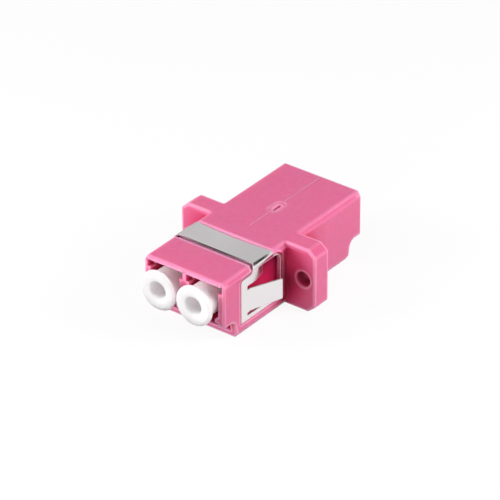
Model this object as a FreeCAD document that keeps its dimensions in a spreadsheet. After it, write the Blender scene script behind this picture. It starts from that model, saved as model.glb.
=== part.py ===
import FreeCAD, Part
import math
import os

import Sketcher

os.makedirs("parts", exist_ok=True)

# Duplex fibre optic adapter for two small square plugs a side, with a flange for two
# panel screws, a folded spring clip and a dust plug in each front port.
#
# Frame, in millimetres: the origin is the middle of the flange's panel face, halfway
# between its two screw holes. +Y runs through the panel face towards the back ports,
# +X goes across the two ports, and +Z goes up, away from the latch side.

SIZES = {
    # Body, seen from the front: a bar with its four long edges cut back
    "body_width": 12.9,
    "body_height": 9.3,
    "front_reach": 13.3,
    "back_reach": 13.3,
    "edge_inset": 0.45,
    "edge_drop": 0.75,
    "edge_round": 0.3,
    "rim_round": 0.25,
    # Flange across the middle of the body
    "flange_thick": 2.9,
    "ear_inset": 1.15,
    "ear_drop": 0.95,
    "ear_round": 0.3,
    "flange_round": 0.2,
    "screw_spacing": 18.0,
    "screw_hole": 2.2,
    "ear_margin": 1.9,
    # Moulding gate on top of the body, behind the flange: a slot in a shallow dish
    "gate_y": 6.3,
    "gate_length": 1.7,
    "gate_width": 0.5,
    "gate_deep": 0.5,
    "gate_round": 0.22,
    "dish_length": 2.9,
    "dish_width": 1.4,
    "dish_deep": 0.1,
    "dish_round": 0.63,
    # Ports, two at each end
    "port_pitch": 6.25,
    "port_width": 4.6,
    "port_height": 4.6,
    "top_wall": 0.9,
    "floor_wall": 0.9,
    "relief_wall": 0.6,
    "relief_reach": 0.55,
    "relief_drop": 1.0,
    "relief_deep": 1.0,
    "ledge_reach": 0.57,
    "ledge_slope": 0.5,
    "ledge_thick": 0.6,
    "ledge_length": 4.0,
    "channel_length": 9.9,
    # Notch under each end, which bares the plugs' latches
    "notch_length": 2.8,
    "notch_rise": 2.8,
    "notch_lean": 0.55,
    "notch_round": 1.1,
    # Web across the middle of each port, its barrels and the sleeves in them
    "web_thick": 1.2,
    "retainer_thick": 1.2,
    "sleeve_length": 6.8,
    "sleeve_bore": 1.25,
    "sleeve_wall": 0.185,
    "sleeve_slot": 0.3,
    "sleeve_play": 0.06,
    "sleeve_end_play": 0.1,
    "barrel_wall": 0.5,
    "lip_thick": 0.45,
    "lip_bore": 1.4,
    "mouth_width": 2.0,
    "snap_reach": 0.2,
    "snap_length": 0.7,
    "snap_height": 1.8,
    "fit_gap": 0.03,
    # Spring clip: a band over the top, folded down both sides into framed plates
    "sheet_thick": 0.25,
    "clip_gap": 0.03,
    "edge_gap": 0.15,
    "band_sag": 0.3,
    "sag_round": 80.0,
    "bend_inner": 0.25,
    "band_front": 6.75,
    "band_back": 2.9,
    "neck_front": 7.3,
    "neck_drop": 0.6,
    "plate_front": 9.7,
    "plate_back": 1.05,
    "plate_foot": 1.77,
    "shoulder_drop": 1.17,
    "shoulder_round": 0.5,
    "heel_round": 1.6,
    "window_back": 1.5,
    "window_foot": 2.4,
    "window_drop": 0.75,
    "step_back": 6.2,
    "step_drop": 2.45,
    "step_round": 0.6,
    "tab_root": 8.43,
    "tab_run": 4.95,
    "tab_flare": 1.9,
    "tab_drop": 3.06,
    "tab_height": 3.4,
    "tab_taper": 0.45,
    "tab_bend": 0.6,
    "barb_low": 2.35,
    "barb_height": 1.5,
    "barb_run": 1.4,
    "barb_dip": 0.35,
    "pocket_deep": 0.45,
    # Dust plugs
    "plug_drop_left": 0.4,
    "plug_drop_right": 0.05,
    "plug_head": 5.7,
    "plug_head_thick": 0.5,
    "plug_stand_left": 1.05,
    "plug_stand_right": 1.65,
    "plug_play": 0.075,
    "plug_reach": 5.5,
    "plug_hole": 2.5,
    "plug_hole_deep": 3.2,
    "plug_round": 0.22,
    "plug_nose_round": 0.6,
    # How far a tool reaches past what it cuts
    "overcut": 1.0,
}


class Size:
    """A length, together with the sheet expression that it comes from."""

    def __init__(self, number, text):
        self.number = float(number)
        self.text = text

    def __add__(self, other):
        other = as_size(other)
        return Size(self.number + other.number, f"({self.text} + {other.text})")

    def __sub__(self, other):
        other = as_size(other)
        return Size(self.number - other.number, f"({self.text} - {other.text})")

    def __mul__(self, factor):
        return Size(self.number * factor, f"({self.text} * {factor})")

    def __truediv__(self, factor):
        return Size(self.number / factor, f"({self.text} / {factor})")

    def __neg__(self):
        return Size(-self.number, f"(0 - {self.text})")


def as_size(value):
    """A Size as it is, and a plain number as a Size."""
    if isinstance(value, Size):
        return value
    return Size(value, repr(float(value)))


class Sheet:
    """The spreadsheet of driving dimensions, each read by its alias as a Size."""

    def __init__(self, document, sizes):
        cells = document.addObject("Spreadsheet::Sheet", "Sizes")
        for row, (alias, number) in enumerate(sizes.items(), start=1):
            cells.set(f"A{row}", alias)
            cells.set(f"B{row}", str(number))
            cells.setAlias(f"B{row}", alias)
        document.recompute()
        for alias in sizes:
            setattr(self, alias, Size(cells.get(alias), f"Sizes.{alias}"))


doc = FreeCAD.newDocument("adapter")
size = Sheet(doc, SIZES)


# Sketches and features

def new_body(name):
    """An empty body that carries the sub-part's name."""
    body = doc.addObject("PartDesign::Body", name)
    body.Label = name
    return body


def new_sketch(body, name, role, height, aside=0):
    """A sketch on one of the body's origin planes, lifted off it and moved aside."""
    sketch = body.newObject("Sketcher::SketchObject", name)
    plane = next(item for item in body.Origin.OriginFeatures if item.Role == role)
    sketch.AttachmentSupport = [(plane, "")]
    sketch.MapMode = "FlatFace"
    height, aside = as_size(height), as_size(aside)
    lift = FreeCAD.Vector(aside.number, 0, height.number)
    sketch.AttachmentOffset = FreeCAD.Placement(lift, FreeCAD.Rotation())
    sketch.setExpression("AttachmentOffset.Base.x", aside.text)
    sketch.setExpression("AttachmentOffset.Base.z", height.text)
    return sketch


def cross_section(body, name, y):
    """A sketch across the body: its x and y are the part's X and Z, and it faces -Y."""
    return new_sketch(body, name, "XZ_Plane", -as_size(y))


def side_view(body, name, x):
    """A sketch along the side: its x and y are the part's Y and Z, and it faces +X."""
    return new_sketch(body, name, "YZ_Plane", x)


def plan_view(body, name, z, middle_x=0):
    """A sketch from above: its x and y are the part's X and Y, and it faces +Z."""
    return new_sketch(body, name, "XY_Plane", z, middle_x)


def pin_point(sketch, geometry, end, x, y):
    """Fixes a point of the sketch at x and y, bound to the sheet."""
    for kind, value, axis in (("DistanceX", x, -2), ("DistanceY", y, -1)):
        value = as_size(value)
        if value.number == 0:
            sketch.addConstraint(Sketcher.Constraint("PointOnObject", geometry, end, axis))
            continue
        rule = sketch.addConstraint(
            Sketcher.Constraint(kind, -1, 1, geometry, end, value.number)
        )
        sketch.setExpression(f"Constraints[{rule}]", value.text)


def draw_circle(sketch, x, y, diameter):
    """A full circle about x and y."""
    x, y, diameter = as_size(x), as_size(y), as_size(diameter)
    centre = FreeCAD.Vector(x.number, y.number, 0)
    circle = Part.Circle(centre, FreeCAD.Vector(0, 0, 1), diameter.number / 2)
    ring = sketch.addGeometry(circle, False)
    rule = sketch.addConstraint(Sketcher.Constraint("Diameter", ring, diameter.number))
    sketch.setExpression(f"Constraints[{rule}]", diameter.text)
    pin_point(sketch, ring, 3, x, y)


def corner_arc(before, corner, after, radius):
    """The tangent points and centre of an arc that rounds a corner, and its turn."""
    back = (before - corner).normalize()
    on = (after - corner).normalize()
    half = back.getAngle(on) / 2
    reach = radius / math.tan(half)
    middle = (back + on).normalize() * (radius / math.sin(half))
    turns_left = (corner - before).cross(after - corner).z > 0
    return corner + back * reach, corner + on * reach, corner + middle, turns_left


def draw_outline(sketch, corners):
    """Straight sides between corners in order. A corner is (x, y) or (x, y, radius)."""
    places = [FreeCAD.Vector(as_size(c[0]).number, as_size(c[1]).number, 0) for c in corners]
    radii = [as_size(c[2]) if len(c) == 3 else None for c in corners]
    count = len(corners)
    arcs = {}
    for i, radius in enumerate(radii):
        if radius is not None:
            arcs[i] = corner_arc(places[i - 1], places[i], places[(i + 1) % count], radius.number)
    sides = []
    for i in range(count):
        j = (i + 1) % count
        start = arcs[i][1] if i in arcs else places[i]
        stop = arcs[j][0] if j in arcs else places[j]
        sides.append(sketch.addGeometry(Part.LineSegment(start, stop), False))
    for i in range(count):
        into, out = sides[i - 1], sides[i]
        x, y = corners[i][0], corners[i][1]
        if i not in arcs:
            sketch.addConstraint(Sketcher.Constraint("Coincident", into, 2, out, 1))
            pin_point(sketch, out, 1, x, y)
            continue
        round_corner(sketch, into, out, arcs[i], radii[i], places[i], (x, y))


def round_corner(sketch, into, out, arc, radius, place, target):
    """An arc tangent to two sides that would meet at the target."""
    first, last, centre, turns_left = arc
    if not turns_left:
        first, last = last, first
    angles = [math.atan2(p.y - centre.y, p.x - centre.x) for p in (first, last)]
    circle = Part.Circle(centre, FreeCAD.Vector(0, 0, 1), radius.number)
    bend = sketch.addGeometry(Part.ArcOfCircle(circle, angles[0], angles[1]), False)
    entry, leave = (1, 2) if turns_left else (2, 1)
    sketch.addConstraint(Sketcher.Constraint("Tangent", into, 2, bend, entry))
    sketch.addConstraint(Sketcher.Constraint("Tangent", bend, leave, out, 1))
    rule = sketch.addConstraint(Sketcher.Constraint("Radius", bend, radius.number))
    sketch.setExpression(f"Constraints[{rule}]", radius.text)
    point = sketch.addGeometry(Part.Point(place), True)
    sketch.addConstraint(Sketcher.Constraint("PointOnObject", point, 1, into))
    sketch.addConstraint(Sketcher.Constraint("PointOnObject", point, 1, out))
    pin_point(sketch, point, 1, target[0], target[1])


def draw_box(sketch, left, right, low, high):
    """A rectangle between two values of x and two of y."""
    draw_outline(sketch, [(left, low), (right, low), (right, high), (left, high)])


def volume_of(body):
    """The body's volume so far, or zero while it is empty."""
    return body.Shape.Volume if not body.Shape.isNull() else 0.0


def finish_feature(body, feature, adds):
    """Makes a feature the body's last, checked to have added or taken away material."""
    before = volume_of(body)
    body.Tip = feature
    doc.recompute()
    change = volume_of(body) - before
    if change == 0 or (change > 0) != adds:
        raise RuntimeError(f"{body.Label} {feature.Name} changes nothing")
    return feature


def extrude(body, kind, name, sketch, length, reverse):
    """A Pad or Pocket of a sketch."""
    feature = body.newObject(kind, name)
    feature.Profile = sketch
    length = as_size(length)
    feature.Length = length.number
    feature.setExpression("Length", length.text)
    feature.Reversed = reverse
    return finish_feature(body, feature, kind == "PartDesign::Pad")


def turned(body, kind, name, sketch):
    """A Revolution or Groove of a sketch about its own upright axis."""
    feature = body.newObject(kind, name)
    feature.Profile = sketch
    feature.ReferenceAxis = (sketch, ["V_Axis"])
    feature.Angle = 360
    return finish_feature(body, feature, kind == "PartDesign::Revolution")


def pad(body, name, sketch, length, reverse=False):
    """Material added along the sketch's normal, or against it."""
    return extrude(body, "PartDesign::Pad", name, sketch, length, reverse)


def pocket(body, name, sketch, length, reverse=False):
    """Material cut away against the sketch's normal, or along it."""
    return extrude(body, "PartDesign::Pocket", name, sketch, length, reverse)


def fillet(body, name, radius, wanted):
    """Rounds each edge of the body so far that wanted picks out."""
    base = body.Tip
    picked = [f"Edge{i}" for i, edge in enumerate(base.Shape.Edges, start=1) if wanted(edge)]
    feature = body.newObject("PartDesign::Fillet", name)
    feature.Base = (base, picked)
    feature.Radius = radius.number
    feature.setExpression("Radius", radius.text)
    body.Tip = feature
    doc.recompute()
    return feature


def runs_along_y(edge):
    """True for a straight edge that is parallel to Y."""
    ends = [vertex.Point for vertex in edge.Vertexes]
    return len(ends) == 2 and (ends[1] - ends[0]).normalize().isEqual(
        FreeCAD.Vector(0, math.copysign(1, (ends[1] - ends[0]).y), 0), 1e-6
    )


def lies_at_y(edge, *levels):
    """True for an edge that lies in one of the planes across Y."""
    box = edge.BoundBox
    return any(abs(box.YMin - y) < 1e-5 and abs(box.YMax - y) < 1e-5 for y in levels)


# Places that several pieces share

half_width = size.body_width / 2
half_height = size.body_height / 2
front_y = -size.front_reach
back_y = size.flange_thick + size.back_reach
middle_y = size.flange_thick / 2
port_top = half_height - size.top_wall
port_low = port_top - size.port_height
port_z = port_top - size.port_height / 2
channel_low = -half_height + size.floor_wall
barrel_reach = size.sleeve_length / 2 + size.sleeve_end_play + size.lip_thick
barrel_bore = size.sleeve_bore + size.sleeve_wall * 2 + size.sleeve_play * 2
barrel_width = barrel_bore + size.barrel_wall * 2
recess_deep = size.sheet_thick + size.clip_gap
plate_x = half_width - recess_deep
port_xs = (-size.port_pitch / 2, size.port_pitch / 2)


def cut_corners(width, height, inset, drop):
    """The corners of a rectangle about the origin whose corners are cut back."""
    x, z = width / 2, height / 2
    return [
        (-x + inset, -z), (x - inset, -z), (x, -z + drop), (x, z - drop),
        (x - inset, z), (-x + inset, z), (-x, z - drop), (-x, -z + drop),
    ]


# Housing: body, flange, ports, web and front barrels in one moulding

def rounded_bar(name, start, stop, corners, long_round, end_round):
    """A bar along Y with rounded long edges and rounded rims at both ends."""
    body = new_body(name)
    sketch = cross_section(body, name + "_section", start)
    draw_outline(sketch, corners)
    pad(body, name + "_bar", sketch, stop - start, reverse=True)
    fillet(body, name + "_long_edges", long_round, runs_along_y)
    ends = (start.number, stop.number)
    fillet(body, name + "_rims", end_round, lambda edge: lies_at_y(edge, *ends))
    return body


def join_flange(body):
    """Fuses the flange, rounded all over on its own, across the middle of the bar."""
    width = size.screw_spacing + size.ear_margin * 2
    corners = cut_corners(width, size.body_height, size.ear_inset, size.ear_drop)
    flange = rounded_bar(
        "flange", as_size(0), size.flange_thick, corners, size.ear_round, size.flange_round
    )
    join = body.newObject("PartDesign::Boolean", "flange_join")
    join.Type = "Fuse"
    join.setObjects([flange])
    body.Tip = join
    doc.recompute()


def cut_screw_holes(body):
    """Two plain holes through the flange's ears."""
    sketch = cross_section(body, "screw_holes", -size.overcut)
    for side in (-1, 1):
        draw_circle(sketch, size.screw_spacing * side / 2, 0, size.screw_hole)
    pocket(body, "screw_hole_cut", sketch, size.flange_thick + size.overcut * 2)


def cut_gate(body):
    """The gate's shallow dish and the slot in the middle of it."""
    for name, length, width, deep, turn in (
        ("dish", size.dish_length, size.dish_width, size.dish_deep, size.dish_round),
        ("gate", size.gate_length, size.gate_width, size.gate_deep, size.gate_round),
    ):
        near, far = size.gate_y - length / 2, size.gate_y + length / 2
        sketch = plan_view(body, name, half_height)
        draw_outline(sketch, [
            (-width / 2, near, turn), (width / 2, near, turn),
            (width / 2, far, turn), (-width / 2, far, turn),
        ])
        pocket(body, name + "_cut", sketch, deep)


def cut_across(body, name, start, stop, draw):
    """A cut between two values of Y, of what draw puts in the section at each port."""
    sketch = cross_section(body, name, start)
    for x in port_xs:
        draw(sketch, x)
    pocket(body, name + "_cut", sketch, stop - start)


def port_outline(x, middle, gap):
    """A port's section about x and a middle height, drawn in by a gap all round."""
    half, low = size.port_width / 2 - gap, middle - size.port_height / 2 + gap
    high, slope = middle + size.port_height / 2 - gap, low + size.ledge_slope
    slot = half - size.ledge_reach
    return [
        (x - half, slope), (x - slot, low), (x + slot, low),
        (x + half, slope), (x + half, high), (x - half, high),
    ]


def cut_ports(body, end, face, inner, toward):
    """The two ports of one end: relief, main hollow, latch slot and latch chamber."""
    half = size.port_width / 2

    def span(depth_from, depth_to):
        """Two depths into the port as a low and a high value of Y."""
        near, far = face + depth_from * toward, face + depth_to * toward
        return (near, far) if toward > 0 else (far, near)

    def hollow(sketch, x):
        draw_outline(sketch, port_outline(x, port_z, 0.0))

    def relief(sketch, x):
        reach = half + size.relief_reach
        top = half_height - size.relief_wall
        draw_box(sketch, x - reach, x + reach, top - size.relief_drop, top)

    def slot(sketch, x):
        reach = half - size.ledge_reach
        draw_box(sketch, x - reach, x + reach, channel_low, port_low)

    def under_ledge(sketch, x):
        draw_box(sketch, x - half, x + half, channel_low, port_low - size.ledge_thick)

    def chamber(sketch, x):
        draw_box(sketch, x - half, x + half, channel_low, port_z)

    outside = -size.overcut
    depth = (inner - face) * toward
    cut_across(body, end + "_hollow", *span(outside, depth), hollow)
    cut_across(body, end + "_relief", *span(outside, size.relief_deep), relief)
    cut_across(body, end + "_slot", *span(outside, size.ledge_length), slot)
    cut_across(body, end + "_under_ledge", *span(outside, size.ledge_length), under_ledge)
    cut_across(body, end + "_chamber", *span(size.ledge_length, size.channel_length), chamber)


def cut_notch(body, end, face, toward):
    """The cut under one end, with a leaning back edge and a rounded inner corner."""
    outside = face - size.overcut * toward
    low = -half_height
    foot = face + size.notch_length * toward
    head = foot - size.notch_lean * toward
    below = low - size.overcut
    sketch = side_view(body, end + "_notch", half_width + size.overcut)
    draw_outline(sketch, [
        (outside, below), (foot, below), (foot, low),
        (head, low + size.notch_rise, size.notch_round), (outside, low + size.notch_rise),
    ])
    pocket(body, end + "_notch_cut", sketch, size.body_width + size.overcut * 2)


def add_barrels(body, name, root, tip, reverse):
    """Two tubes about the port axes, from a wall to the tip."""
    sketch = cross_section(body, name, root)
    for x in port_xs:
        draw_circle(sketch, x, port_z, barrel_width)
    pad(body, name + "_pad", sketch, (tip - root) * (1 if reverse else -1), reverse=reverse)


def cut_mouth(body, name, x, z, seat, tip):
    """A mouth that widens from a sleeve's seat to a barrel's tip and guides a ferrule in."""
    outside = tip + size.overcut * (1 if tip.number > seat.number else -1)
    wide, narrow = size.mouth_width / 2, size.lip_bore / 2
    sketch = plan_view(body, name, z, x)
    draw_outline(sketch, [(0, seat), (narrow, seat), (wide, tip), (wide, outside), (0, outside)])
    turned(body, "PartDesign::Groove", name + "_cut", sketch)


def bore_barrels(body):
    """Bores the sleeve seats out of web and barrels, with a lip round each mouth."""
    seat_front = middle_y - size.sleeve_length / 2 - size.sleeve_end_play
    cut_across(
        body, "sleeve_seat", seat_front, middle_y + size.overcut,
        lambda sketch, x: draw_circle(sketch, x, port_z, barrel_bore),
    )
    for x, side in zip(port_xs, ("left", "right")):
        cut_mouth(body, side + "_mouth", x, port_z, seat_front, middle_y - barrel_reach)


def cut_snap_pockets(body):
    """Shallow pockets beside the retainers, where their nibs snap in."""
    half = size.port_width / 2 + size.snap_reach
    near = middle_y + (size.retainer_thick - size.snap_length) / 2 - size.fit_gap
    far = near + size.snap_length + size.fit_gap * 2
    tall = size.snap_height / 2 + size.fit_gap
    cut_across(
        body, "snap_pockets", near, far,
        lambda sketch, x: draw_box(sketch, x - half, x + half, port_z - tall, port_z + tall),
    )


def plate_outline(gap):
    """The side plate's edge in Y and Z, grown all round by a gap, up past the bend."""
    top = half_height + size.overcut
    foot = -half_height + size.plate_foot - gap
    shoulder = half_height - size.shoulder_drop + gap
    front, back = -size.plate_front - gap, -size.plate_back + gap
    neck, band_back = -size.neck_front - gap, -size.band_back + gap
    heel = half_height - size.neck_drop + gap
    return [
        (front, foot), (back, foot), (back, heel, size.heel_round), (band_back, heel),
        (band_back, top), (neck, top), (neck, shoulder, size.shoulder_round),
        (front, shoulder, size.shoulder_round),
    ]


def cut_clip_recess(body):
    """The seat of the spring clip: sides, bend and top, and a deeper pocket for its tab."""
    gap = size.edge_gap
    for side, name in ((1, "right"), (-1, "left")):
        sketch = side_view(body, name + "_recess", plate_x * side)
        draw_outline(sketch, plate_outline(gap))
        pocket(body, name + "_recess_cut", sketch, recess_deep + size.overcut, side > 0)
        sketch = side_view(body, name + "_tab_pocket", (plate_x - size.pocket_deep) * side)
        draw_outline(sketch, window_outline())
        pocket(body, name + "_tab_pocket_cut", sketch, size.pocket_deep + size.overcut, side > 0)
    cut_band_recess(body)


def cut_band_recess(body):
    """The seat of the clip's band, with a shelf level with its sag in front of it."""
    gap = size.edge_gap
    start, shelf_end, stop = -size.neck_front - gap, -size.band_front - gap, -size.band_back + gap
    inner, out = size.bend_inner - size.clip_gap, half_width + size.overcut
    floor, above = half_height - recess_deep - size.band_sag, half_height + size.overcut
    low, shelf = half_height - size.neck_drop - gap, half_height - size.band_sag
    bend_x = half_width - size.sheet_thick - size.bend_inner - gap
    over_top = [
        (plate_x, low), (out, low), (out, above), (-out, above), (-out, low), (-plate_x, low),
    ]
    sketch = cross_section(body, "band_recess", shelf_end)
    draw_outline(sketch, over_top + [(-plate_x, floor, inner), (plate_x, floor, inner)])
    pocket(body, "band_recess_cut", sketch, stop - shelf_end)
    sketch = cross_section(body, "band_shelf", start)
    draw_outline(sketch, over_top + [
        (-plate_x, floor, inner), (-bend_x, floor), (-bend_x, shelf),
        (bend_x, shelf), (bend_x, floor), (plate_x, floor, inner),
    ])
    pocket(body, "band_shelf_cut", sketch, shelf_end - start)


def build_housing():
    """The moulded housing."""
    corners = cut_corners(size.body_width, size.body_height, size.edge_inset, size.edge_drop)
    body = rounded_bar("housing", front_y, back_y, corners, size.edge_round, size.rim_round)
    join_flange(body)
    cut_screw_holes(body)
    cut_gate(body)
    cut_ports(body, "front", front_y, middle_y - size.web_thick, 1)
    cut_ports(body, "back", back_y, middle_y, -1)
    cut_notch(body, "front", front_y, 1)
    cut_notch(body, "back", back_y, -1)
    add_barrels(body, "front_barrels", middle_y - size.web_thick, middle_y - barrel_reach, False)
    bore_barrels(body)
    cut_snap_pockets(body)
    cut_clip_recess(body)
    return body


# Spring clip: one folded sheet

def window_outline():
    """The opening in a side plate, in Y and Z, from which the tab is cut."""
    foot = -half_height + size.window_foot
    top = half_height - size.window_drop
    step = half_height - size.step_drop
    root, back = -size.tab_root, -size.window_back
    inner_heel = size.heel_round - (size.window_back - size.plate_back)
    return [
        (root, foot), (back, foot), (back, top, inner_heel),
        (-size.step_back, top), (-size.step_back, step, size.step_round), (root, step),
    ]


def fold_channel(body):
    """The folded sheet as a plain channel: band, two bends and two sides."""
    sketch = cross_section(body, "channel", -size.plate_front)
    outer, inner = half_width, half_width - size.sheet_thick
    top, under = half_height, half_height - size.sheet_thick
    foot = -half_height + size.plate_foot
    wide, tight = size.bend_inner + size.sheet_thick, size.bend_inner
    sag, bow = size.band_sag, size.sag_round
    draw_outline(sketch, [
        (inner, foot), (outer, foot), (outer, top, wide), (0, top - sag, bow),
        (-outer, top, wide), (-outer, foot), (-inner, foot), (-inner, under, tight),
        (0, under - sag, bow + size.sheet_thick), (inner, under, tight),
    ])
    pad(body, "channel_pad", sketch, size.plate_front - size.plate_back, reverse=True)


def trim_channel(body):
    """Cuts the channel down to the band and the stepped side plates."""
    x = half_width + size.overcut
    across = size.body_width + size.overcut * 2
    top = half_height + size.overcut
    shoulder = half_height - size.shoulder_drop
    neck_z = half_height - size.neck_drop
    before, after = -size.plate_front - size.overcut, -size.plate_back + size.overcut
    sketch = side_view(body, "front_shoulder", x)
    draw_outline(sketch, [
        (before, shoulder - size.shoulder_round * 2),
        (-size.plate_front, shoulder - size.shoulder_round * 2),
        (-size.plate_front, shoulder, size.shoulder_round),
        (-size.neck_front, shoulder, size.shoulder_round),
        (-size.neck_front, top), (before, top),
    ])
    pocket(body, "front_shoulder_cut", sketch, across)
    bend = size.bend_inner + size.sheet_thick
    sketch = plan_view(body, "band_front", half_height)
    draw_outline(sketch, [
        (half_width, -size.neck_front), (half_width - bend, -size.band_front),
        (bend - half_width, -size.band_front), (-half_width, -size.neck_front),
        (-x, -size.neck_front), (-x, before), (x, before), (x, -size.neck_front),
    ])
    pocket(body, "band_front_cut", sketch, bend)
    sketch = side_view(body, "back_shoulder", x)
    draw_outline(sketch, [
        (after, neck_z - size.heel_round * 2), (after, top), (-size.band_back, top),
        (-size.band_back, neck_z), (-size.plate_back, neck_z, size.heel_round),
        (-size.plate_back, neck_z - size.heel_round * 2),
    ])
    pocket(body, "back_shoulder_cut", sketch, across)


def add_tabs(body):
    """The tab lanced out of each window, flared outwards towards the flange."""
    low = half_height - size.tab_drop - size.tab_height
    root, tip = -size.tab_root, -size.tab_root + size.tab_run
    thick = size.sheet_thick
    for side, name in ((1, "right"), (-1, "left")):
        sketch = plan_view(body, name + "_tab", low)
        inner, outer = half_width - thick, half_width
        flare = size.tab_flare
        bent = root + size.tab_bend
        corners = [
            (inner * side, root - size.overcut / 2), (outer * side, root - size.overcut / 2),
            (outer * side, bent, size.tab_bend), ((outer + flare) * side, tip),
            ((inner + flare) * side, tip), (inner * side, bent, size.tab_bend),
        ]
        draw_outline(sketch, corners)
        pad(body, name + "_tab_pad", sketch, size.tab_height)


def add_barbs(body):
    """The barb at each window's upper front edge, bent in to hold the clip on."""
    root, tip = -size.step_back, -size.step_back + size.barb_run
    for side, name in ((1, "right"), (-1, "left")):
        sketch = plan_view(body, name + "_barb", size.barb_low)
        inner, outer = half_width - size.sheet_thick, half_width
        draw_outline(sketch, [
            (inner * side, root - size.overcut / 2), (outer * side, root - size.overcut / 2),
            (outer * side, root), ((outer - size.barb_dip) * side, tip),
            ((inner - size.barb_dip) * side, tip), (inner * side, root),
        ])
        pad(body, name + "_barb_pad", sketch, size.barb_height)


def taper_tabs(body):
    """Raises the lower edge of both tabs towards their free ends."""
    low = half_height - size.tab_drop - size.tab_height
    root, tip = -size.tab_root, -size.tab_root + size.tab_run
    beyond = half_width + size.tab_flare + size.overcut
    sketch = side_view(body, "tab_taper", beyond)
    draw_outline(sketch, [(root, low), (tip, low), (tip, low + size.tab_taper)])
    pocket(body, "tab_taper_cut", sketch, beyond * 2)


def build_spring_clip():
    """The spring clip."""
    body = new_body("spring_clip")
    fold_channel(body)
    trim_channel(body)
    sketch = side_view(body, "windows", half_width + size.overcut)
    draw_outline(sketch, window_outline())
    pocket(body, "window_cut", sketch, size.body_width + size.overcut * 2)
    add_tabs(body)
    taper_tabs(body)
    add_barbs(body)
    return body


# Sleeves and their retainers

def place(body, x, y, z):
    """Moves a body that was drawn about its own origin."""
    x, y, z = as_size(x), as_size(y), as_size(z)
    body.Placement = FreeCAD.Placement(FreeCAD.Vector(x.number, y.number, z.number), FreeCAD.Rotation())
    for axis, value in (("x", x), ("y", y), ("z", z)):
        body.setExpression(f"Placement.Base.{axis}", value.text)


def build_retainer(name, x):
    """A square plate and barrel that closes the sleeve's seat from the back port."""
    body = new_body(name)
    sketch = cross_section(body, name + "_plate", 0)
    draw_outline(sketch, port_outline(as_size(0), as_size(0), size.fit_gap))
    pad(body, name + "_plate_pad", sketch, size.retainer_thick, reverse=True)
    reach = size.port_width / 2 + size.snap_reach - size.fit_gap
    tall = size.snap_height / 2
    sketch = cross_section(body, name + "_nibs", (size.retainer_thick - size.snap_length) / 2)
    draw_box(sketch, -reach, reach, -tall, tall)
    pad(body, name + "_nib_pad", sketch, size.snap_length, reverse=True)
    sketch = cross_section(body, name + "_barrel", size.retainer_thick)
    draw_circle(sketch, 0, 0, barrel_width)
    pad(body, name + "_barrel_pad", sketch, barrel_reach - size.retainer_thick, reverse=True)
    seat = barrel_reach - size.lip_thick
    sketch = cross_section(body, name + "_seat", -size.overcut)
    draw_circle(sketch, 0, 0, barrel_bore)
    pocket(body, name + "_seat_cut", sketch, seat + size.overcut)
    cut_mouth(body, name + "_mouth", 0, 0, seat, barrel_reach)
    place(body, x, middle_y, port_z)
    return body


def build_sleeve(name, x):
    """A split sleeve: a thin tube with one slot along its top."""
    body = new_body(name)
    outer = size.sleeve_bore + size.sleeve_wall * 2
    sketch = cross_section(body, name + "_ring", -size.sleeve_length / 2)
    draw_circle(sketch, 0, 0, outer)
    draw_circle(sketch, 0, 0, size.sleeve_bore)
    pad(body, name + "_tube", sketch, size.sleeve_length, reverse=True)
    sketch = cross_section(body, name + "_slot", -size.sleeve_length / 2 - size.overcut)
    draw_box(sketch, -size.sleeve_slot / 2, size.sleeve_slot / 2, 0, outer)
    pocket(body, name + "_slot_cut", sketch, size.sleeve_length + size.overcut * 2)
    place(body, x, middle_y, port_z)
    return body


# Dust plugs

def build_dust_plug(name, x, stand, drop):
    """A turned plug: a round head with a blind hole, on a shank that fills the port.

    Its head stands off the body's front, and it lies a little below the port's middle.
    """
    body = new_body(name)
    head, hole = size.plug_head / 2, size.plug_hole / 2
    shank = size.port_width / 2 - size.plug_play
    back = -stand
    face = back - size.plug_head_thick
    sketch = plan_view(body, name + "_profile", 0)
    draw_outline(sketch, [
        (0, face + size.plug_hole_deep), (hole, face + size.plug_hole_deep),
        (hole, face, size.plug_round), (head, face, size.plug_round), (head, back, size.plug_round),
        (shank, back), (shank, size.plug_reach, size.plug_nose_round), (0, size.plug_reach),
    ])
    turned(body, "PartDesign::Revolution", name + "_turn", sketch)
    place(body, x, front_y, port_z - drop)
    return body


# Build, check and write

def check_document():
    """Stops if anything failed to build."""
    for item in doc.Objects:
        if {"Invalid", "Error"} & set(item.State):
            raise RuntimeError(f"{item.Name} failed: {item.State}")


def write_parts(parts):
    """Writes each finished sub-part under its own name."""
    for part in parts:
        shape = part.Shape
        if shape.isNull() or not shape.isValid() or not shape.Solids:
            raise RuntimeError(f"{part.Label} has no valid solid")
        shape.exportStep(f"parts/{part.Label}.step")
        print(part.Label, len(shape.Solids), "solid", round(shape.Volume, 3), "mm3")


parts = [
    build_housing(),
    build_spring_clip(),
    build_retainer("sleeve_retainer_left", port_xs[0]),
    build_retainer("sleeve_retainer_right", port_xs[1]),
    build_sleeve("split_sleeve_left", port_xs[0]),
    build_sleeve("split_sleeve_right", port_xs[1]),
    build_dust_plug("dust_plug_left", port_xs[0], size.plug_stand_left, size.plug_drop_left),
    build_dust_plug("dust_plug_right", port_xs[1], size.plug_stand_right, size.plug_drop_right),
]
doc.recompute()
check_document()
write_parts(parts)
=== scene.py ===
"""A duplex fibre optic adapter in magenta plastic, with a steel spring clip and two dust plugs.

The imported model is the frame. Each solid but the dust plugs is dressed with a merged copy
whose edges are finely softened. The dust plugs are turned afresh as smooth surfaces, and two
fine beads mark where the mould's halves met. Lengths are written in millimetres times MM, so
they are in metres, in the part's own frame: +Y runs towards the back ports, +X goes across
the ports and +Z goes up.
"""
import math

import bmesh
import bpy
import numpy as np
from mathutils import Matrix, Vector


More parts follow.
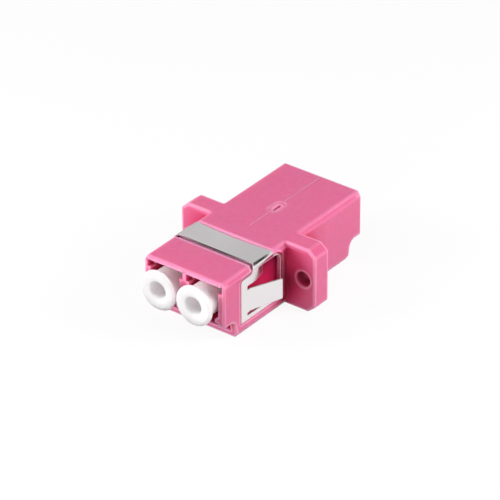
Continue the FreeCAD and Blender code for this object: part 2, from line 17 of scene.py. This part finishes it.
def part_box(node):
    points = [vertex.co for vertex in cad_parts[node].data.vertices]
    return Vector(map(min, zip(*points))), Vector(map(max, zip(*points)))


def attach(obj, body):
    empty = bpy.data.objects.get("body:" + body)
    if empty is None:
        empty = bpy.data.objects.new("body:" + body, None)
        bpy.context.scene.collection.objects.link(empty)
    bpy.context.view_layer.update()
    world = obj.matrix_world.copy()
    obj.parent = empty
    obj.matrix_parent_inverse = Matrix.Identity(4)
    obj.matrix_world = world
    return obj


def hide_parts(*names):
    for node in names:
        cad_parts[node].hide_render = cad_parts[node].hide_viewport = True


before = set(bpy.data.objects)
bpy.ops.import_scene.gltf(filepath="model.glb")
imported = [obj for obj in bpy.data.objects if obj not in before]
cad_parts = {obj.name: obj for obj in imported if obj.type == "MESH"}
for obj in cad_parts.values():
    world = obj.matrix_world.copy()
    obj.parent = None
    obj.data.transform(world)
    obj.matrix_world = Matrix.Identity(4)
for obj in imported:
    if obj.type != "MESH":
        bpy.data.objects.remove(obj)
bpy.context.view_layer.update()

MM = 0.001
ADAPTER, LEFT_PLUG, RIGHT_PLUG = "adapter", "left_plug", "right_plug"

# Photograph's view: turn and height of the camera, its distance, lens and framing
VIEW_TURN = math.radians(37.46)
VIEW_HEIGHT = math.radians(31.59)
VIEW_ROLL = math.radians(-0.15)
VIEW_DISTANCE = 502.0 * MM
VIEW_TARGET = Vector((0.0, 0.71, -0.354)) * MM
VIEW_NEAREST, VIEW_FARTHEST = 10 * MM, 10.0
FRAME_PIXELS = 500.0
FOCAL_PIXELS = 3856.6
TARGET_PIXEL = (250.9, 257.3)
SENSOR_WIDTH = 36.0

# Colours as the material nodes take them, in linear light
MAGENTA = (0.79, 0.150, 0.315)
MAGENTA_DEEP = (0.765, 0.136, 0.295)
# Painted shade for corners and for the walls behind the clip's windows
MAGENTA_PAINTED_SHADE = (0.62, 0.016, 0.085)
# Darker painted shade for holes and for the tops of the walls behind the clip's windows
MAGENTA_PAINTED_DARK_SHADE = (0.12, 0.004, 0.028)
# Painted highlight for edges
MAGENTA_PAINTED_HIGHLIGHT = (1.0, 0.37, 0.56)
STEEL = (0.83, 0.795, 0.805)
CERAMIC = (0.86, 0.85, 0.80)
SOFT_WHITE = (0.955, 0.915, 0.93)
# Painted shade down in the dust plugs' holes
WHITE_PAINTED_SHADE = (0.72, 0.66, 0.685)
FLOOR_GREY = (0.10, 0.10, 0.10)
WHITE = (1.0, 1.0, 1.0)

# Painted shade in corners, holes and the plugs' hollows, painted highlights along rims, and the
# steel's dull cut edges, all following the shape: how far each looks round a spot, over which
# share of blocked light it comes in, how strong it gets, and whether it seeks sharp edges
# instead of hollows
CORNER_SHADE = {"reach": 6.0 * MM, "span": (0.05, 0.24), "most": 0.8}
HOLE_SHADE = {"reach": 2.6 * MM, "span": (0.56, 0.82), "most": 0.9}
RIM_HIGHLIGHT = {"reach": 0.45 * MM, "span": (0.02, 0.18), "most": 0.9, "edges": True}
CUT_EDGES = {"reach": 0.14 * MM, "span": (0.12, 0.36), "most": 1.0, "edges": True}
PLUG_HOLLOW_SHADE = {"reach": 2.2 * MM, "span": (0.35, 0.8), "most": 1.0}
RAYS_ROUND = 8

# Thin walls behind the clip's windows, mirrored in each axis, where shade is painted, and heights where
# the painted shade changes
WALL_MIDDLE = Vector((5.6, 4.95, 0.0)) * MM
WALL_HALF = Vector((0.3, 3.65, 4.0)) * MM
WALL_SHADE_HEIGHTS, WALL_SHADE = (0.6 * MM, 3.2 * MM), 0.75
TOP_HEIGHTS = (3.85 * MM, 4.05 * MM)
HIGHLIGHT_IN_PAINTED_SHADE = 0.4

# Spans of a value, and the middle part of a noise that holds most of it
WHOLE = (0.0, 1.0)
MOST_OF_NOISE = (0.3, 0.7)
CLOUDS = (0.35, 0.65)

# Sockets of a mix node by what it mixes: both inputs and the output
MIX_SOCKETS = {"FLOAT": (2, 3, 0), "RGBA": (6, 7, 2)}

# Meshes: how near points have to be to merge, and which angles are flat, sharp or a sliver
SURFACE_MERGE, SOLID_MERGE = 0.0001 * MM, 0.0002 * MM
FLAT_ANGLE = math.radians(0.4)
SHARP_ANGLE = math.radians(32.0)
SLIVER_ANGLE = math.radians(15.0)

# Dust plugs: radii, depths behind the face, the step's distances in from the rim, roundings
PLUG_HOLE, PLUG_SHANK = 1.25 * MM, 2.225 * MM
PLUG_STEP, PLUG_HEAD, PLUG_HOLE_DEEP = 0.08 * MM, 0.5 * MM, 3.2 * MM
STEP_TOP, STEP_FOOT = 0.34 * MM, 0.30 * MM
HOLE_END_ROUND, HOLE_ROUND, NECK_ROUND, NOSE_ROUND = 0.15 * MM, 0.22 * MM, 0.12 * MM, 0.6 * MM
STEP_TOP_ROUND, STEP_FOOT_ROUND, HEAD_ROUND = 0.06 * MM, 0.03 * MM, 0.16 * MM

# Parting line: the bead's half width, its height, and how long its ends taper
BEAD_HALF_WIDTH, BEAD_HEIGHT, BEAD_TAPER = 0.06 * MM, 0.025 * MM, 0.25 * MM
BEAD_POINTS, BEAD_TURNS = 97, 12

# Floor: half its side, how dull and bright it is, and its gap to the part's underside
FLOOR_HALF = 1.5
FLOOR_ROUGHNESS, FLOOR_GLOW = 0.9, 0.90
FLOOR_GAP = 0.02 * MM

# Surround's light on the part, and how steel mirrors it. A direction's lean is how far it goes
# across for each step up. Left of the first lean it is dim, and a dark gap lies round a middle
# lean and a middle way along, within the spans given for each.
DAYLIGHT = 0.20
LEAST_UP = 0.02
LEFT_LEANS, LEFT_LEVEL = (-1.3, -0.45), 0.55
GAP_LEAN, GAP_LEAN_SPAN = 0.26, (0.88, 1.02)
GAP_ALONG, GAP_ALONG_SPAN = 0.60, (0.21, 0.25)
GAP_SHADE = 0.95

# Soft boxes: place, then width and height, all in millimetres, and power in watts
SOFT_BOXES = {
    "left soft box": ((-150, -136, 84), (100, 150), 0.48),
    "right soft box": ((172, 84, 90), (100, 150), 0.46),
    "front soft box": ((30, -200, 40), (120, 120), 0.20),
}


# Meshes

def new_object(name, mesh):
    """An object at the origin that holds a finished mesh."""
    piece = bpy.data.objects.new(name, mesh)
    bpy.context.scene.collection.objects.link(piece)
    return piece


def surface(name, points):
    """A mesh through a grid of points, closed round its second direction.

    Point (i, j) is points[i, j]. Each face joins rows i and i + 1 at columns j and j + 1,
    and the last column joins the first. A row whose points meet is merged to a pole.
    """
    rows, columns = points.shape[:2]
    i, j = np.meshgrid(np.arange(rows - 1), np.arange(columns), indexing="ij")
    beside = (j + 1) % columns
    faces = np.stack(
        [i * columns + j, i * columns + beside, (i + 1) * columns + beside, (i + 1) * columns + j],
        axis=-1,
    ).reshape(-1, 4)
    mesh = bpy.data.meshes.new(name)
    mesh.from_pydata(points.reshape(-1, 3).tolist(), [], faces.tolist())
    work = bmesh.new()
    work.from_mesh(mesh)
    bmesh.ops.remove_doubles(work, verts=work.verts, dist=SURFACE_MERGE)
    bmesh.ops.recalc_face_normals(work, faces=work.faces)
    work.to_mesh(mesh)
    work.free()
    mesh.shade_smooth()
    return new_object(name, mesh)


def rounded_profile(corners, steps=8):
    """A smooth profile through corners given as (across, along, radius).

    Each corner of radius r is replaced by the arc that touches both of its sides, whose
    points are centre + r * (cos t, sin t) for evenly spaced t.
    """
    spots = np.array([corner[:2] for corner in corners], float)
    line = [spots[0]]
    for k in range(1, len(corners) - 1):
        radius = corners[k][2]
        back, on = spots[k - 1] - spots[k], spots[k + 1] - spots[k]
        back, on = back / np.linalg.norm(back), on / np.linalg.norm(on)
        half = math.acos(np.clip(back @ on, -1, 1)) / 2
        centre = spots[k] + (back + on) / np.linalg.norm(back + on) * radius / math.sin(half)
        first = spots[k] + back * radius / math.tan(half) - centre
        last = spots[k] + on * radius / math.tan(half) - centre
        start = math.atan2(first[1], first[0])
        sweep = math.atan2(last[1], last[0]) - start
        sweep = (sweep + math.pi) % (2 * math.pi) - math.pi
        turn = start + sweep * np.linspace(0, 1, steps + 1)
        line.extend(centre + radius * np.stack([np.cos(turn), np.sin(turn)], axis=-1))
    line.append(spots[-1])
    return np.array(line)


def turned(name, profile, centre, turns=128):
    """A body turned about an axis along Y.

    Point (i, j) is centre + (r cos t, y, r sin t), where (r, y) is the profile's point i
    and t is j shares of a full turn.
    """
    t = np.linspace(0, 2 * math.pi, turns, endpoint=False)
    r, y = profile[:, 0:1], profile[:, 1:2]
    grid = np.stack([r * np.cos(t), y + 0 * t, r * np.sin(t)], axis=-1)
    return surface(name, grid + np.array(centre))


def mark_sharp(work):
    """Marks the sharp edges for softening, but none beside a sliver."""
    weight = work.edges.layers.float.new("bevel_weight_edge")
    for edge in work.edges:
        if len(edge.link_faces) == 2 and edge.calc_face_angle(0.0) > SHARP_ANGLE:
            edge[weight] = 1.0
    for face in work.faces:
        for loop in face.loops:
            if loop.calc_angle() < SLIVER_ANGLE:
                loop.edge[weight] = loop.link_loop_prev.edge[weight] = 0.0


def merged_copy(node, name):
    """A copy of a solid's mesh with its doubled points merged and its flat faces joined up."""
    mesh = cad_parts[node].data.copy()
    mesh.name = name
    work = bmesh.new()
    work.from_mesh(mesh)
    bmesh.ops.remove_doubles(work, verts=work.verts, dist=SOLID_MERGE)
    bmesh.ops.dissolve_limit(
        work, angle_limit=FLAT_ANGLE, verts=work.verts, edges=work.edges, delimit=set()
    )
    mark_sharp(work)
    work.to_mesh(mesh)
    work.free()
    mesh.shade_smooth()
    return new_object(name, mesh)


def soften_edges(piece, width, segments=2, flatness=100):
    """Rounds each marked edge of the piece, and keeps flats flat."""
    bevel = piece.modifiers.new("Softened edges", "BEVEL")
    bevel.width = width
    bevel.segments = segments
    bevel.limit_method = "WEIGHT"
    bevel.use_clamp_overlap = False
    flats = piece.modifiers.new("Flat faces kept flat", "WEIGHTED_NORMAL")
    flats.mode = "FACE_AREA"
    flats.weight = flatness
    flats.keep_sharp = True


# Material nodes

def fill(tree, socket, value):
    """Links another node's output to a socket, or gives it a plain number, vector or colour."""
    if isinstance(value, bpy.types.NodeSocket):
        tree.links.new(value, socket)
    elif socket.type == "RGBA":
        socket.default_value = (*value, 1.0)
    else:
        socket.default_value = value


def add_node(tree, kind, **settings):
    """A node of a kind, with its settings and its named inputs filled in."""
    node = tree.nodes.new(kind)
    for key, value in settings.items():
        if key in node.inputs:
            fill(tree, node.inputs[key], value)
        else:
            setattr(node, key, value)
    return node


def coordinates(tree, kind="Object"):
    """Where a spot is on the piece, or which way a ray goes in the surround."""
    return add_node(tree, "ShaderNodeTexCoord").outputs[kind]


def axes(tree, vector):
    """The three parts of a vector."""
    return tuple(add_node(tree, "ShaderNodeSeparateXYZ", Vector=vector).outputs)


def spread(tree, value, span, target=WHOLE, smooth=False):
    """A value mapped from a span to a target and held at its ends."""
    node = add_node(tree, "ShaderNodeMapRange", Value=value)
    if smooth:
        node.interpolation_type = "SMOOTHSTEP"
    ends = ("From Min", "From Max", "To Min", "To Max")
    for name, number in zip(ends, (*span, *target)):
        node.inputs[name].default_value = number
    return node.outputs["Result"]


def combine(tree, operation, *values, kind="ShaderNodeMath"):
    """Values joined by a sum, a product or the like."""
    node = add_node(tree, kind, operation=operation)
    for socket, value in zip(node.inputs, values):
        fill(tree, socket, value)
    return node.outputs[0]


def inverse(tree, value):
    """What is left of one."""
    return combine(tree, "SUBTRACT", 1.0, value)


def product(tree, value, *others):
    """Several values multiplied."""
    for other in others:
        value = combine(tree, "MULTIPLY", value, other)
    return value


def largest(tree, value, *others):
    """The largest of several values."""
    for other in others:
        value = combine(tree, "MAXIMUM", value, other)
    return value


def distance_from(tree, value, middle):
    """How far a value is from a middle, either way."""
    return combine(tree, "ABSOLUTE", combine(tree, "SUBTRACT", value, middle))


def blend(tree, factor, one, other, kind="RGBA"):
    """A mix of two colours or numbers, each a socket or a plain value, by a factor."""
    mix = add_node(tree, "ShaderNodeMix", data_type=kind, Factor=factor)
    first, second, result = MIX_SOCKETS[kind]
    fill(tree, mix.inputs[first], one)
    fill(tree, mix.inputs[second], other)
    return mix.outputs[result]


def object_noise(tree, grain, stretch=(1.0, 1.0, 1.0), detail=3.0):
    """Noise on the object's own coordinates, whose grains are about a given size."""
    place = add_node(tree, "ShaderNodeMapping", Vector=coordinates(tree), Scale=stretch)
    noise = add_node(
        tree, "ShaderNodeTexNoise", Vector=place.outputs["Vector"], Scale=1.0 / grain, Detail=detail
    )
    return noise.outputs["Fac"]


def follow_shape(tree, reach, span, most, edges=False):
    """Zero on open flats, up to a most down in hollows or, for edges, at sharp edges.

    The share of light that the piece itself blocks within the reach is mapped from its span
    to zero up to the most. For edges the light is looked for inside the piece.
    """
    around = add_node(
        tree, "ShaderNodeAmbientOcclusion", Distance=reach, samples=RAYS_ROUND, only_local=True,
        inside=edges,
    )
    return spread(tree, inverse(tree, around.outputs["AO"]), span, (0.0, most))


def outside_box(tree, middle, half):
    """Zero within a box and its mirror images in the part's own axes, and one elsewhere.

    It is one where any part of abs(abs(place) - middle) - half is above zero.
    """
    place = coordinates(tree)
    for amount in (middle, half):
        mirrored = combine(tree, "ABSOLUTE", place, kind="ShaderNodeVectorMath")
        place = combine(tree, "SUBTRACT", mirrored, amount, kind="ShaderNodeVectorMath")
    return combine(tree, "GREATER_THAN", largest(tree, *axes(tree, place)), 0.0)


# Finishes

def new_material(name, colour, roughness, metallic=0.0):
    """A material with a principled shader and its plain values, which a pattern may go over."""
    material = bpy.data.materials.new(name)
    material.use_nodes = True
    tree = material.node_tree
    shader = tree.nodes["Principled BSDF"]
    fill(tree, shader.inputs["Base Color"], colour)
    fill(tree, shader.inputs["Roughness"], roughness)
    fill(tree, shader.inputs["Metallic"], metallic)
    return material, tree, shader


def let_light_in(shader, weight, spread_by_colour, depth):
    """Lets a share of the light travel inside the surface, each colour its own way in."""
    shader.inputs["Subsurface Weight"].default_value = weight
    shader.inputs["Subsurface Radius"].default_value = spread_by_colour
    shader.inputs["Subsurface Scale"].default_value = depth


def vary_roughness(tree, shader, grain, low, high):
    """Roughness that wanders between two values in grains of a size."""
    patches = spread(tree, object_noise(tree, grain), MOST_OF_NOISE, (low, high))
    fill(tree, shader.inputs["Roughness"], patches)


def add_bump(tree, shader, height, depth):
    """Bump from a height, in metres of depth."""
    bump = add_node(tree, "ShaderNodeBump", Strength=1.0, Distance=depth, Height=height)
    fill(tree, shader.inputs["Normal"], bump.outputs["Normal"])


def moulded_plastic():
    """Satin magenta plastic with the fine grain of a spark-eroded mould.

    It has painted shade: it is deeper in colour in corners, in holes and on the walls behind
    the clip's windows. Painted highlights make it paler along its edges.
    """
    material, tree, shader = new_material("moulded magenta plastic", MAGENTA, 0.42)
    let_light_in(shader, weight=0.45, spread_by_colour=(1.0, 0.08, 0.22), depth=2.2 * MM)
    clouds = spread(tree, object_noise(tree, grain=0.9 * MM), CLOUDS)
    body = blend(tree, clouds, MAGENTA_DEEP, MAGENTA)
    open_face = outside_box(tree, WALL_MIDDLE, WALL_HALF)
    wall = inverse(tree, open_face)
    height = axes(tree, coordinates(tree))[2]
    below_top = spread(tree, height, TOP_HEIGHTS, (1.0, 0.0))
    # Painted shade: corners below the top, and all of the walls behind the clip's windows, get a deeper
    # colour
    painted_shade = largest(tree, wall, product(tree, follow_shape(tree, **CORNER_SHADE), below_top))
    # Painted shadow deepening towards the top of those walls, and darker painted shade in holes
    painted_wall_shadow = product(tree, wall, spread(tree, height, WALL_SHADE_HEIGHTS, (0.0, WALL_SHADE)))
    painted_dark_shade = largest(tree, painted_wall_shadow, follow_shape(tree, **HOLE_SHADE))
    in_light = spread(tree, painted_shade, WHOLE, (1.0, HIGHLIGHT_IN_PAINTED_SHADE))
    # Painted highlight along edges, weaker where shade is painted
    edge = product(tree, follow_shape(tree, **RIM_HIGHLIGHT), open_face, in_light)
    colour = blend(tree, edge, blend(tree, painted_shade, body, MAGENTA_PAINTED_SHADE), MAGENTA_PAINTED_HIGHLIGHT)
    fill(tree, shader.inputs["Base Color"], blend(tree, painted_dark_shade, colour, MAGENTA_PAINTED_DARK_SHADE))
    # Less shine where shade is painted
    shine, shine_in_painted_shade = 0.45, 0.05
    gloss = spread(tree, painted_shade, WHOLE, (shine, shine_in_painted_shade))
    fill(tree, shader.inputs["Specular IOR Level"], gloss)
    vary_roughness(tree, shader, grain=0.35 * MM, low=0.34, high=0.44)
    mould_grain = object_noise(tree, grain=0.09 * MM, detail=2.0)
    add_bump(tree, shader, mould_grain, depth=0.004 * MM)
    return material


def spring_steel():
    """Cold-rolled spring steel, with fine lines along the strip and dull, pale cut edges."""
    material, tree, shader = new_material("rolled spring steel", STEEL, 0.20, metallic=1.0)
    smoothest, dullest, dull_cut, metal_at_cut = 0.16, 0.26, 0.5, 0.25
    lines = object_noise(tree, grain=0.05 * MM, stretch=(0.04, 1.0, 0.04))
    cut = follow_shape(tree, **CUT_EDGES)
    fill(tree, shader.inputs["Metallic"], spread(tree, cut, WHOLE, (1.0, metal_at_cut)))
    polish = spread(tree, lines, MOST_OF_NOISE, (smoothest, dullest))
    dullness = largest(tree, polish, spread(tree, cut, WHOLE, (smoothest, dull_cut)))
    fill(tree, shader.inputs["Roughness"], dullness)
    add_bump(tree, shader, lines, depth=0.001 * MM)
    return material


def ceramic():
    """Polished white ceramic."""
    material, tree, shader = new_material("polished ceramic", CERAMIC, 0.15)
    vary_roughness(tree, shader, grain=0.5 * MM, low=0.12, high=0.2)
    return material


def soft_plastic():
    """Soft white plastic that lets a little light through, with painted shade that makes it greyer down
    in its hole.
    """
    material, tree, shader = new_material("soft white plastic", SOFT_WHITE, 0.45)
    let_light_in(shader, weight=1.0, spread_by_colour=(1.0, 0.95, 0.97), depth=1.8 * MM)
    # Painted shade: greyer deep in the plug's hole
    hollow_shade = follow_shape(tree, **PLUG_HOLLOW_SHADE)
    fill(tree, shader.inputs["Base Color"], blend(tree, hollow_shade, SOFT_WHITE, WHITE_PAINTED_SHADE))
    vary_roughness(tree, shader, grain=0.5 * MM, low=0.4, high=0.52)
    add_bump(tree, shader, object_noise(tree, grain=0.16 * MM), depth=0.003 * MM)
    return material


def wear(piece, material):
    """Gives every slot of the piece the same material."""
    slots = piece.data.materials
    slots.clear()
    slots.append(material)


# Pieces

def dress(node, name, material, softened):
    """A copy of a solid with its edges softened by a width, which stands for it."""
    piece = merged_copy(node, name)
    soften_edges(piece, softened)
    wear(piece, material)
    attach(piece, ADAPTER)
    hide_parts(node)


def dust_plug(node, name, body, material):
    """A dust plug, turned about the axis of its solid."""
    low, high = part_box(node)
    rim = (high.x - low.x) / 2
    face, nose = low.y, high.y
    step, back, hole_end = face + PLUG_STEP, face + PLUG_HEAD, face + PLUG_HOLE_DEEP
    profile = rounded_profile([
        (0.0, hole_end, 0),
        (PLUG_HOLE, hole_end, HOLE_END_ROUND),
        (PLUG_HOLE, face, HOLE_ROUND),
        (rim - STEP_TOP, face, STEP_TOP_ROUND),
        (rim - STEP_FOOT, step, STEP_FOOT_ROUND),
        (rim, step, HEAD_ROUND),
        (rim, back, HEAD_ROUND),
        (PLUG_SHANK, back, NECK_ROUND),
        (PLUG_SHANK, nose, NOSE_ROUND),
        (0.0, nose, 0),
    ])
    centre = ((low.x + high.x) / 2, 0.0, (low.z + high.z) / 2)
    piece = turned(name, profile, centre)
    wear(piece, material)
    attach(piece, body)
    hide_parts(node)


def parting_line(name, start, stop, top, material):
    """A fine raised bead along the middle of the top, where the mould's halves met.

    Point (i, j) is (a s cos t, y, top + b s sin t), where a is the half width, b the height,
    y runs from start to stop with i, t is j shares of a turn, and s falls from one to zero
    over the taper at both ends.
    """
    y = np.linspace(start, stop, BEAD_POINTS)[:, None]
    s = np.sqrt(np.clip(np.minimum(y - start, stop - y) / BEAD_TAPER, 0.0, 1.0))
    t = np.linspace(0, 2 * math.pi, BEAD_TURNS, endpoint=False)[None, :]
    x = BEAD_HALF_WIDTH * s * np.cos(t)
    z = top + BEAD_HEIGHT * s * np.sin(t)
    piece = surface(name, np.stack([x, y + 0 * t, z], axis=-1))
    wear(piece, material)
    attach(piece, ADAPTER)


plastic = moulded_plastic()
steel = spring_steel()
white = soft_plastic()
sleeve_white = ceramic()

dress("housing", "moulded_body", plastic, softened=0.1 * MM)
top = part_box("housing")[1].z
parting_line("parting_line_front", 0.3 * MM, 4.7 * MM, top, plastic)
parting_line("parting_line_back", 7.9 * MM, 15.8 * MM, top, plastic)
dress("spring_clip", "folded_clip", steel, softened=0.03 * MM)
for side in ("left", "right"):
    retainer, sleeve = f"sleeve_retainer_{side}", f"split_sleeve_{side}"
    dress(retainer, f"retainer_{side}", plastic, softened=0.05 * MM)
    dress(sleeve, f"sleeve_{side}", sleeve_white, softened=0.02 * MM)
dust_plug("dust_plug_left", "plug_left", LEFT_PLUG, white)
dust_plug("dust_plug_right", "plug_right", RIGHT_PLUG, white)


# Stage, light and camera

def seen_directly(tree):
    """One for a ray from the camera or one seen by reflection or through glass, else zero."""
    path = add_node(tree, "ShaderNodeLightPath")
    kinds = ("Is Camera Ray", "Is Glossy Ray", "Is Transmission Ray")
    return largest(tree, *(path.outputs[kind] for kind in kinds))


def lay_floor(height):
    """A pale floor under the part, which shows its shadow faintly."""
    corners = [(x * FLOOR_HALF, y * FLOOR_HALF, height) for x, y in ((-1, -1), (1, -1), (1, 1), (-1, 1))]
    mesh = bpy.data.meshes.new("floor")
    mesh.from_pydata(corners, [], [(0, 1, 2, 3)])
    floor = new_object("floor", mesh)
    material, tree, shader = new_material("pale floor", FLOOR_GREY, FLOOR_ROUGHNESS)
    fill(tree, shader.inputs["Specular IOR Level"], 0.0)
    fill(tree, shader.inputs["Emission Color"], WHITE)
    glow = product(tree, seen_directly(tree), FLOOR_GLOW)
    fill(tree, shader.inputs["Emission Strength"], glow)
    wear(floor, material)


def mirrored_room(tree):
    """How bright the surround looks in a reflection, by its direction.

    It dims far to the left, and a dark gap between two soft boxes stands in its upper back.
    """
    across, along, up = axes(tree, coordinates(tree, "Generated"))
    lean = combine(tree, "DIVIDE", across, largest(tree, up, LEAST_UP))
    left = spread(tree, lean, LEFT_LEANS, (LEFT_LEVEL, 1.0))
    off_lean = distance_from(tree, lean, GAP_LEAN)
    off_along = distance_from(tree, along, GAP_ALONG)
    gap_across = spread(tree, off_lean, GAP_LEAN_SPAN, (1.0, 0.0), smooth=True)
    gap_along = spread(tree, off_along, GAP_ALONG_SPAN, (1.0, 0.0))
    shade = product(tree, gap_across, gap_along, GAP_SHADE)
    return product(tree, left, inverse(tree, shade))


def light_world():
    """A white surround, seen as plain white, and in reflections with its dimmer parts."""
    world = bpy.data.worlds.new("studio")
    world.use_nodes = True
    tree = world.node_tree
    background = tree.nodes["Background"]
    fill(tree, background.inputs["Color"], WHITE)
    path = add_node(tree, "ShaderNodeLightPath")
    level = DAYLIGHT
    views = (
        ("Is Glossy Ray", mirrored_room(tree)), ("Is Camera Ray", 1.0), ("Is Transmission Ray", 1.0)
    )
    for ray, seen in views:
        level = blend(tree, path.outputs[ray], level, seen, kind="FLOAT")
    fill(tree, background.inputs["Strength"], level)
    bpy.context.scene.world = world


def add_lamp(name, place, sides, power):
    """An upright soft box at a place, turned to face the part and not mirrored in it."""
    lamp = bpy.data.lights.new(name, "AREA")
    lamp.shape = "RECTANGLE"
    lamp.size, lamp.size_y = (side * MM for side in sides)
    lamp.energy = power
    box = bpy.data.objects.new(name, lamp)
    box.location = Vector(place) * MM
    box.rotation_euler = (-box.location).to_track_quat("-Z", "Y").to_euler()
    box.visible_glossy = False
    bpy.context.scene.collection.objects.link(box)


def place_camera():
    """The camera at the photograph's angle, distance and framing."""
    back = Vector((
        math.sin(VIEW_TURN) * math.cos(VIEW_HEIGHT),
        -math.cos(VIEW_TURN) * math.cos(VIEW_HEIGHT),
        math.sin(VIEW_HEIGHT),
    ))
    level = Vector((math.cos(VIEW_TURN), math.sin(VIEW_TURN), 0.0))
    raised = back.cross(level)
    right = level * math.cos(VIEW_ROLL) + raised * math.sin(VIEW_ROLL)
    up = back.cross(right)
    data = bpy.data.cameras.new("camera")
    data.sensor_width = SENSOR_WIDTH
    data.lens = FOCAL_PIXELS / FRAME_PIXELS * SENSOR_WIDTH
    data.shift_x = (FRAME_PIXELS / 2 - TARGET_PIXEL[0]) / FRAME_PIXELS
    data.shift_y = (TARGET_PIXEL[1] - FRAME_PIXELS / 2) / FRAME_PIXELS
    data.clip_start, data.clip_end = VIEW_NEAREST, VIEW_FARTHEST
    camera = bpy.data.objects.new("camera", data)
    turn = Matrix((right, up, back)).transposed().to_4x4()
    camera.matrix_world = Matrix.Translation(VIEW_TARGET + back * VIEW_DISTANCE) @ turn
    bpy.context.scene.collection.objects.link(camera)
    bpy.context.scene.camera = camera


lay_floor(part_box("housing")[0].z - FLOOR_GAP)
light_world()
for name, (place, sides, power) in SOFT_BOXES.items():
    add_lamp(name, place, sides, power)
place_camera()
bpy.context.scene.view_settings.view_transform = "Standard"
